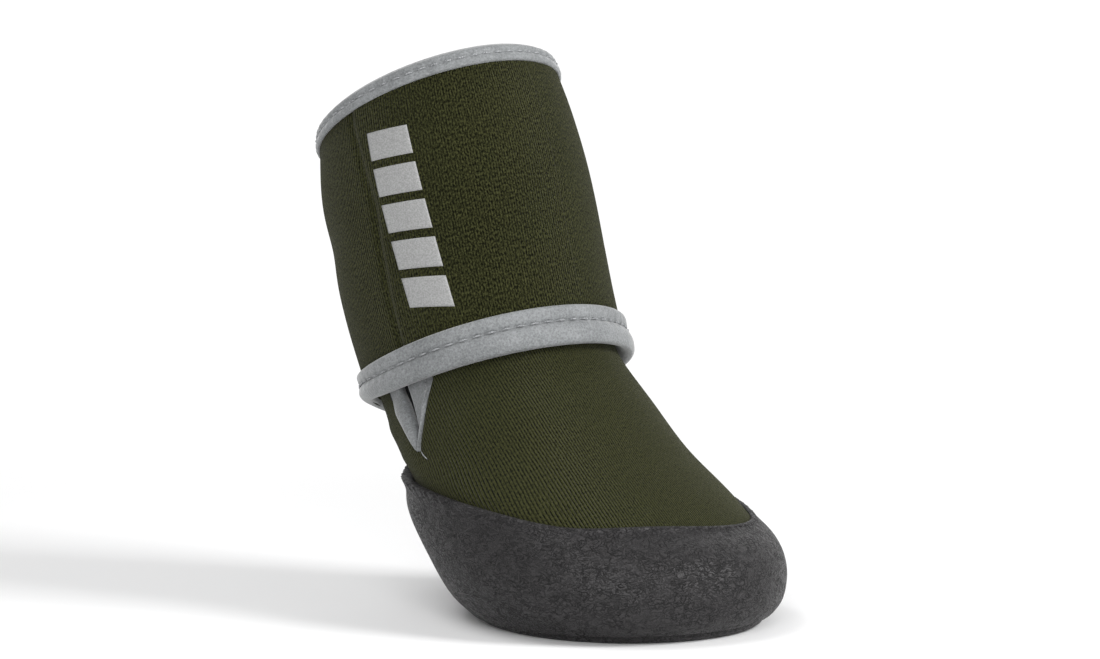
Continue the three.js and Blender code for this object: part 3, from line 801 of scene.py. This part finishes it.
def binding_finish():
    """Silver grey tape: a fine plain weave under glass beads, with painted shade that darkens it where its
    bumped face sinks in.
    """
    finish = Finish("binding")
    at = finish.place()
    beads = finish.noise(at, 3400.0, 2.0, 0.7)
    weave = finish.node("ShaderNodeTexVoronoi", sockets={"Vector": at, "Scale": 1900.0})
    cloud = finish.noise(at, 120.0, 3.0, 0.55)
    # The same noises darken the colour where they lower the bump: painted shade in the tape's hollows.
    tone = beads * 0.6 + weave * 0.25 + cloud * 0.35
    colour = finish.mix(tone.step(0.3, 0.95), (0.1, 0.106, 0.109, 1), (0.27, 0.28, 0.285, 1))
    height = beads * 0.4 + weave * 0.4 + cloud * 0.8
    return finish.shade(colour, 0.56 + beads * 0.1, finish.bump(height, 0.00012), specular=0.4, sheen=0.4,
                        sheen_rough=0.4)


binding = binding_finish()


def smooth_loop(profile, count):
    """Points evenly spaced along a closed curve that runs smoothly through a profile's corners: a cubic
    between each two, with the slope of the line between their neighbours."""
    corners = np.array(profile, float)
    before, after = np.roll(corners, 1, axis=0), np.roll(corners, -1, axis=0)
    beyond = np.roll(corners, -2, axis=0)
    t = np.linspace(0, 1, 24, endpoint=False)[:, None, None]
    curve = 0.5 * (2 * corners + (after - before) * t
                   + (2 * before - 5 * corners + 4 * after - beyond) * t**2
                   + (3 * corners - before - 3 * after + beyond) * t**3)
    curve = np.swapaxes(curve, 0, 1).reshape(-1, 2)
    curve = np.concatenate([curve, curve[:1]])
    lengths = np.concatenate([[0], np.cumsum(np.hypot(*np.diff(curve, axis=0).T))])
    at = np.linspace(0, lengths[-1], count, endpoint=False)
    return np.stack([np.interp(at, lengths, curve[:, k]) for k in range(2)], axis=-1)


def tape(name, profile, waist, outside, lift=None):
    """A closed profile of heights and offsets carried round the shaft, and how many stitches it has. The
    face is pulled in at each stitch of the waist, and puffs out between them, as a cosine of the angle.
    A lift moves its heights by angle."""
    loop = smooth_loop(profile, 56)
    angle = around(560)
    z, offset = loop[:, :1], loop[:, 1:]
    stitches = round(math.pi * 0.5 * (ANKLE_LENGTH + ANKLE_WIDTH) / STITCH_PITCH)
    wave = 0.5 + 0.5 * np.cos(angle * stitches)
    near = np.exp(-((z - waist) / (1.3 * MM)) ** 2) * (offset > outside)
    pulled = offset - STITCH_PULL * near * wave
    if lift is not None:
        z = z + lift(z, angle)
    return surface(name, oval(UPPER_ROWS, z, angle, pulled), ring=True), stitches


def thread_finish():
    """Grey polyester thread, with painted light and shade: paler where its twist stands up and darker
    between.
    """
    finish = Finish("thread")
    twist = finish.noise(finish.place(), 4200.0, 2.0)
    # The twist's bump sets the colour too: painted light on its ridges and painted shade between them.
    colour = finish.mix(twist.step(0.3, 0.7), (0.14, 0.145, 0.15, 1), (0.36, 0.37, 0.38, 1))
    return finish.shade(colour, 0.6, finish.bump(twist, 0.0001), specular=0.4)


thread = thread_finish()


def stitch_row(name, starts, ends, lifts, radius):
    """Short threads as one mesh. Each is a tube of rings from a start to an end, which arches outwards
    along half a sine and swells with the square root of it."""
    steps, sides = 7, 6
    t = np.linspace(0, 1, steps)
    turn = np.linspace(0, 2 * np.pi, sides, endpoint=False)
    middle = starts[:, None] + (ends - starts)[:, None] * t[None, :, None]
    arch = np.sin(np.pi * t)
    middle = middle + lifts[:, None] * (arch * 1.3 - 0.5)[None, :, None]
    ahead = (ends - starts) / np.linalg.norm(ends - starts, axis=1)[:, None]
    up = lifts / np.linalg.norm(lifts, axis=1)[:, None]
    side = np.cross(ahead, up)
    swell = radius * np.sqrt(np.clip(arch, 0, 1)) * 0.85 + radius * 0.12
    ring = np.cos(turn)[:, None] * side[:, None] + np.sin(turn)[:, None] * up[:, None]
    points = middle[:, :, None] + ring[:, None] * swell[:, None, None]
    count = len(starts)
    index = np.arange(count * steps * sides).reshape(count, steps, sides)
    a, b = index[:, :-1], index[:, 1:]
    quads = np.stack([a, np.roll(a, -1, axis=2), np.roll(b, -1, axis=2), b], axis=-1).reshape(-1, 4)
    faces = quads[:, ::-1].tolist() + index[:, 0].tolist() + index[:, -1, ::-1].tolist()
    mesh = bpy.data.meshes.new(name)
    mesh.from_pydata(points.reshape(-1, 3).tolist(), [], faces)
    mesh.polygons.foreach_set("use_smooth", np.ones(len(mesh.polygons), bool))
    mesh.update()
    shell = bmesh.new()
    shell.from_mesh(mesh)
    bmesh.ops.recalc_face_normals(shell, faces=shell.faces)
    shell.to_mesh(mesh)
    shell.free()
    piece = bpy.data.objects.new(name, mesh)
    bpy.context.scene.collection.objects.link(piece)
    return piece


def stitches_round(name, z, offset, count, lift=None):
    """A line of stitches round the shaft at a height, each between two places where the tape is pulled
    in."""
    half = 0.5 * STITCH_LENGTH / (0.25 * (ANKLE_LENGTH + ANKLE_WIDTH) + offset)
    middle = around(count) + np.pi / count
    z = z if lift is None else z + lift(z, middle)
    starts = oval(UPPER_ROWS, z, middle - half, offset)
    ends = oval(UPPER_ROWS, z, middle + half, offset)
    lifts = oval(UPPER_ROWS, z, middle, offset + 0.5 * THREAD) - oval(UPPER_ROWS, z, middle, offset)
    piece = stitch_row(name, starts, ends, lifts, 0.5 * THREAD)
    piece.data.materials.append(thread)
    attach(piece, "root")


def hem_profile():
    """Heights and offsets round the folded tape: the padded lower strip, the waist, the flat upper strip,
    and back down the seat on the cuff and under the hem."""
    seat = CUFF_OUTSIDE + GAP

    def at(share):
        return HEM_BOTTOM + share * HEM_HEIGHT

    face = [(at(share), seat + proud * HEM_PROUD) for share, proud in HEM_FACE]
    return [(at(0.03), HEM_STAND_OFF), *face, (at(0.97), seat), (at(0.5), seat), (at(0.43), GAP + 0.2 * MM),
            (at(0.32), GAP + 0.1 * MM)]


def hem_lift(z, angle):
    """The band rides up behind the ankle, its lower edge about twice as far as its upper one."""
    rise = HEM_RISE * bell(angle, HEM_RISE_ANGLE, HEM_RISE_WIDE)
    return rise * (2.1 - np.clip((z - HEM_BOTTOM) / HEM_HEIGHT, 0, 1))


hem_waist = HEM_BOTTOM + HEM_WAIST * HEM_HEIGHT
hem_piece, hem_stitches = tape("hem_tape", hem_profile(), hem_waist, CUFF_OUTSIDE + GAP, hem_lift)
dress(hem_piece, "hem_binding", "binding", binding)
stitches_round("hem_stitches", hem_waist, CUFF_OUTSIDE + GAP + 0.56 * HEM_PROUD, hem_stitches, hem_lift)

# Collar binding. The same tape folded over the top edges of upper and cuff, and sewn through.

COLLAR_BINDING_HEIGHT = 3.4 * MM
COLLAR_WAIST = 2.2 * MM
BINDING_WALL = 1 * MM


def collar_profile():
    """Heights and offsets round the folded tape: up its outside, with a stitched waist, over the edges,
    down its inside, and back up between its two sides and down again."""
    inside = -UPPER_WALL - GAP
    outside = CUFF_OUTSIDE + GAP
    low = COLLAR_HEIGHT - COLLAR_BINDING_HEIGHT
    top = COLLAR_HEIGHT + GAP + BINDING_WALL
    middle = 0.5 * (inside + outside)
    return [
        (low + 0.4 * MM, outside - 0.1 * MM), (low + 0.5 * MM, outside + 0.5 * BINDING_WALL),
        (low + 1.1 * MM, outside + 0.8 * BINDING_WALL), (low + 1.8 * MM, outside + 0.7 * BINDING_WALL),
        (low + COLLAR_WAIST, outside + 0.3 * BINDING_WALL), (low + 2.6 * MM, outside + 0.55 * BINDING_WALL),
        (low + 3.2 * MM, outside + 0.6 * BINDING_WALL),
        (COLLAR_HEIGHT + 0.2 * MM, outside + 0.3 * BINDING_WALL),
        (top - 0.2 * MM, middle + 1.2 * MM), (top, middle), (top - 0.2 * MM, middle - 1.2 * MM),
        (COLLAR_HEIGHT, inside - 0.5 * BINDING_WALL), (low + 2.0 * MM, inside - 0.6 * BINDING_WALL),
        (low + 0.4 * MM, inside - 0.6 * BINDING_WALL), (low, inside - 0.1 * MM),
        (low + 2 * MM, inside), (COLLAR_HEIGHT + 0.2 * MM, inside + 0.1 * MM), (COLLAR_HEIGHT + GAP, middle),
        (COLLAR_HEIGHT + 0.2 * MM, outside - 0.1 * MM), (low + 2 * MM, outside),
    ]


collar_waist = COLLAR_HEIGHT - COLLAR_BINDING_HEIGHT + COLLAR_WAIST
collar_piece, collar_stitches = tape("collar_tape", collar_profile(), collar_waist, CUFF_OUTSIDE + GAP)
dress(collar_piece, "collar_binding", "binding", binding)
stitches_round("collar_stitches", collar_waist, CUFF_OUTSIDE + GAP + 0.45 * BINDING_WALL, collar_stitches)

# Slit lips. Two pieces of the same tape close the slit's edges: a narrow rolled lip behind it, and in
# front of it a broad panel, turned in, with a rolled and stitched outer edge.

REAR_LIP_LAP = 0.9 * MM
# Where each lip's inner edge is across the slit, at the tip and at the hem.
REAR_LIP_SHARES = (0.58, 0.3)
FRONT_LIP_SHARES = (0.72, 0.46)
# Half the width of the front lip's roll, as a share of the lip's width.
ROLL_HALF = 0.14
LIP_STITCHES = 10
LIP_STITCH_LENGTH = 0.84 * MM
LIP_THREAD = 0.26 * MM
# How far the loose end runs forward, and the heights of its two ends against the slit's tip.
LOOSE_END_REACH = 1.1 * MM
LOOSE_END_HEIGHTS = (0.1 * MM, -1.5 * MM)


def lip_edge(shares, z):
    """A lip's inner edge: a share of the slit's width from its rear edge, at the tip and at the hem."""
    share = shares[0] + (shares[1] - shares[0]) * slit_rise(z)
    return slit_rear(z) + (slit_front(z) - slit_rear(z)) * share


def lip(name, start, end, skin):
    """A patch of the upper's form between two edges, closed at the back, following a skin of offsets."""
    heights = SLIT_TIP + (SLIT_TOP - GAP - SLIT_TIP) * np.linspace(0, 1, 90)[:, None] ** 1.6
    share = np.linspace(0, 1, 26)[None, :]
    angle = slit_angle(start(heights)) * (1 - share) + slit_angle(end(heights)) * share
    front = oval(UPPER_ROWS, heights, angle, skin(heights, share))
    back = oval(UPPER_ROWS, heights, angle, -0.8 * UPPER_WALL + 0 * share)
    piece = surface(name, np.concatenate([front, back[:, ::-1]], axis=1))
    shell = bmesh.new()
    shell.from_mesh(piece.data)
    bmesh.ops.holes_fill(shell, edges=[edge for edge in shell.edges if edge.is_boundary])
    bmesh.ops.recalc_face_normals(shell, faces=shell.faces)
    shell.to_mesh(piece.data)
    shell.free()
    return piece


def clear_of_hem(z):
    """One below the hem, falling to nought under it, where the lips have to lie flat."""
    return np.clip((HEM_BOTTOM - z) / (0.3 * SLIT_DEPTH), 0, 1)


def rolled_skin(z, share):
    """A half-round roll across the whole width."""
    roll = np.sqrt(np.clip(1 - (2 * share - 1) ** 2, 0, 1))
    return (0.2 + 1.05 * clear_of_hem(z)) * MM * roll - 0.35 * MM


def turned_skin(z, share):
    """A sunken flat panel with a half-round roll along its outer edge."""
    roll = np.sqrt(np.clip(1 - ((share - 1 + ROLL_HALF) / ROLL_HALF) ** 2, 0, 1))
    return (-0.75 + 1.45 * clear_of_hem(z) * roll + 0.25 * share) * MM


rear_lip = lip("slit_lip_rear_tape", lambda z: slit_rear(z) - REAR_LIP_LAP * slit_rise(z),
               lambda z: lip_edge(REAR_LIP_SHARES, z), rolled_skin)
front_lip = lip("slit_lip_front_tape", lambda z: lip_edge(FRONT_LIP_SHARES, z),
                lambda z: slit_front(z) - 0.5 * GAP * slit_rise(z), turned_skin)
dress(rear_lip, "slit_lip_rear", "binding", binding)
dress(front_lip, "slit_lip_front", "binding", binding)


def slit_threads():
    """A row of fine stitches inside the front lip's rolled edge, and one loose end below the tip."""
    middle = np.linspace(SLIT_TIP + 0.16 * SLIT_DEPTH, HEM_BOTTOM - 0.2 * MM, LIP_STITCHES)
    ends = np.stack([middle - 0.5 * LIP_STITCH_LENGTH, middle + 0.5 * LIP_STITCH_LENGTH])
    inner, outer = lip_edge(FRONT_LIP_SHARES, ends), slit_front(ends)
    lower, upper_end = oval(UPPER_ROWS, ends, slit_angle(inner + (outer - inner) * 0.7), -0.52 * MM)
    tail_z = SLIT_TIP + np.array(LOOSE_END_HEIGHTS)
    tail_from, tail_to = oval(UPPER_ROWS, tail_z, slit_angle([0, LOOSE_END_REACH]), 0.1 * MM)
    starts, stops = np.vstack([lower, tail_from]), np.vstack([upper_end, tail_to])
    outward = np.array([math.cos(math.radians(SLIT_ANGLE)), math.sin(math.radians(SLIT_ANGLE)), 0])
    lifts = np.tile(outward * 0.14 * MM, (len(starts), 1))
    piece = stitch_row("slit_stitches", starts, stops, lifts, 0.5 * LIP_THREAD)
    piece.data.materials.append(thread)
    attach(piece, "root")


slit_threads()

# Floor, lights and camera. A white paper floor that curves up behind the boot, a small soft key on the
# right, a broad light from the camera's side, a weaker one high on the left, and a long lens low down.

CAMERA_AZIMUTH = math.radians(42)
CAMERA_ELEVATION = math.radians(5.47)
CAMERA_DISTANCE = 620 * MM
CAMERA_TARGET = Vector((0, 0, 50 * MM))
FRAME_WIDTH = 1100
FRAME_HEIGHT = 659
PIXELS_PER_METRE = 5000
TARGET_PIXEL = (617.05, 371.73)
SENSOR = 36


def floor_finish():
    """White paper round the boot that turns into a lit backdrop behind it."""
    finish = Finish("floor")
    at = finish.node("ShaderNodeTexCoord", out="Object")
    away = finish.node("ShaderNodeVectorMath", {"operation": "DOT_PRODUCT"}, {
        0: at, 1: (-math.sin(CAMERA_AZIMUTH), math.cos(CAMERA_AZIMUTH), 0)}, out="Value")
    tone = finish.noise(at, 3.0, 1.0)
    paper = finish.node("ShaderNodeBsdfDiffuse", sockets={
        "Color": finish.mix(tone, (0.9, 0.9, 0.905, 1), (0.93, 0.93, 0.93, 1))})
    lit = finish.node("ShaderNodeEmission", sockets={"Color": (1, 1, 1, 1), "Strength": 1.05})
    shown = finish.node("ShaderNodeMixShader", sockets={0: away.step(0.04, 0.4), 1: paper, 2: lit})
    return finish.wear(shown)


def studio():
    """A floor that curves up along a quarter of a circle behind the boot, in a dim grey room."""
    world = bpy.data.worlds.new("studio")
    world.use_nodes = True
    room = world.node_tree.nodes["Background"]
    room.inputs["Color"].default_value = (1, 1, 1, 1)
    room.inputs["Strength"].default_value = 0.3
    bpy.context.scene.world = world
    turn = np.linspace(0, 0.5 * np.pi, 24)
    behind = np.concatenate([[-0.7, 0.0, 0.35], 0.7 + 0.5 * np.sin(turn), [1.2]])
    height = np.concatenate([[0.0, 0.0, 0.0], 0.5 - 0.5 * np.cos(turn), [1.2]])
    forward = np.array([-math.sin(CAMERA_AZIMUTH), math.cos(CAMERA_AZIMUTH), 0])
    sideways = np.array([math.cos(CAMERA_AZIMUTH), math.sin(CAMERA_AZIMUTH), 0])
    across = np.linspace(1.6, -1.6, 9)
    points = (behind[:, None, None] * forward + across[None, :, None] * sideways
              + height[:, None, None] * np.array([0, 0, 1]))
    floor = surface("floor", points, round_columns=False)
    floor.data.materials.append(floor_finish())


def look_from(name, data, azimuth, elevation, distance):
    """Puts a lamp or a camera at a distance from the target and turns it to look there. The azimuth is
    counted from the boot's near side."""
    thing = bpy.data.objects.new(name, data)
    bpy.context.scene.collection.objects.link(thing)
    level = math.cos(elevation)
    away = Vector((math.sin(azimuth) * level, -math.cos(azimuth) * level, math.sin(elevation)))
    thing.location = CAMERA_TARGET + away * distance
    thing.rotation_mode = "QUATERNION"
    thing.rotation_quaternion = (-away).to_track_quat("-Z", "Y")
    return thing


def area_light(name, azimuth, elevation, distance, size, watts):
    """A square light that looks at the boot, from an azimuth and an elevation in degrees."""
    light = bpy.data.lights.new(name, "AREA")
    light.size = size
    light.energy = watts
    look_from(name, light, math.radians(azimuth), math.radians(elevation), distance)


def camera():
    """A long lens, shifted so that the target falls on its pixel."""
    lens = bpy.data.cameras.new("camera")
    lens.sensor_width = SENSOR
    lens.lens = PIXELS_PER_METRE * CAMERA_DISTANCE / FRAME_WIDTH * SENSOR
    lens.shift_x = (0.5 * FRAME_WIDTH - TARGET_PIXEL[0]) / FRAME_WIDTH
    lens.shift_y = (TARGET_PIXEL[1] - 0.5 * FRAME_HEIGHT) / FRAME_WIDTH
    lens.clip_start = 0.01
    lens.clip_end = 50
    bpy.context.scene.camera = look_from("camera", lens, CAMERA_AZIMUTH, CAMERA_ELEVATION, CAMERA_DISTANCE)


studio()
area_light("key", 112, 32, 0.8, 0.26, 5.4)
area_light("front", 40, 20, 1.0, 0.6, 6.4)
area_light("side", -44, 66, 1.0, 0.5, 3.2)
camera()
bpy.context.scene.view_settings.view_transform = "Standard"
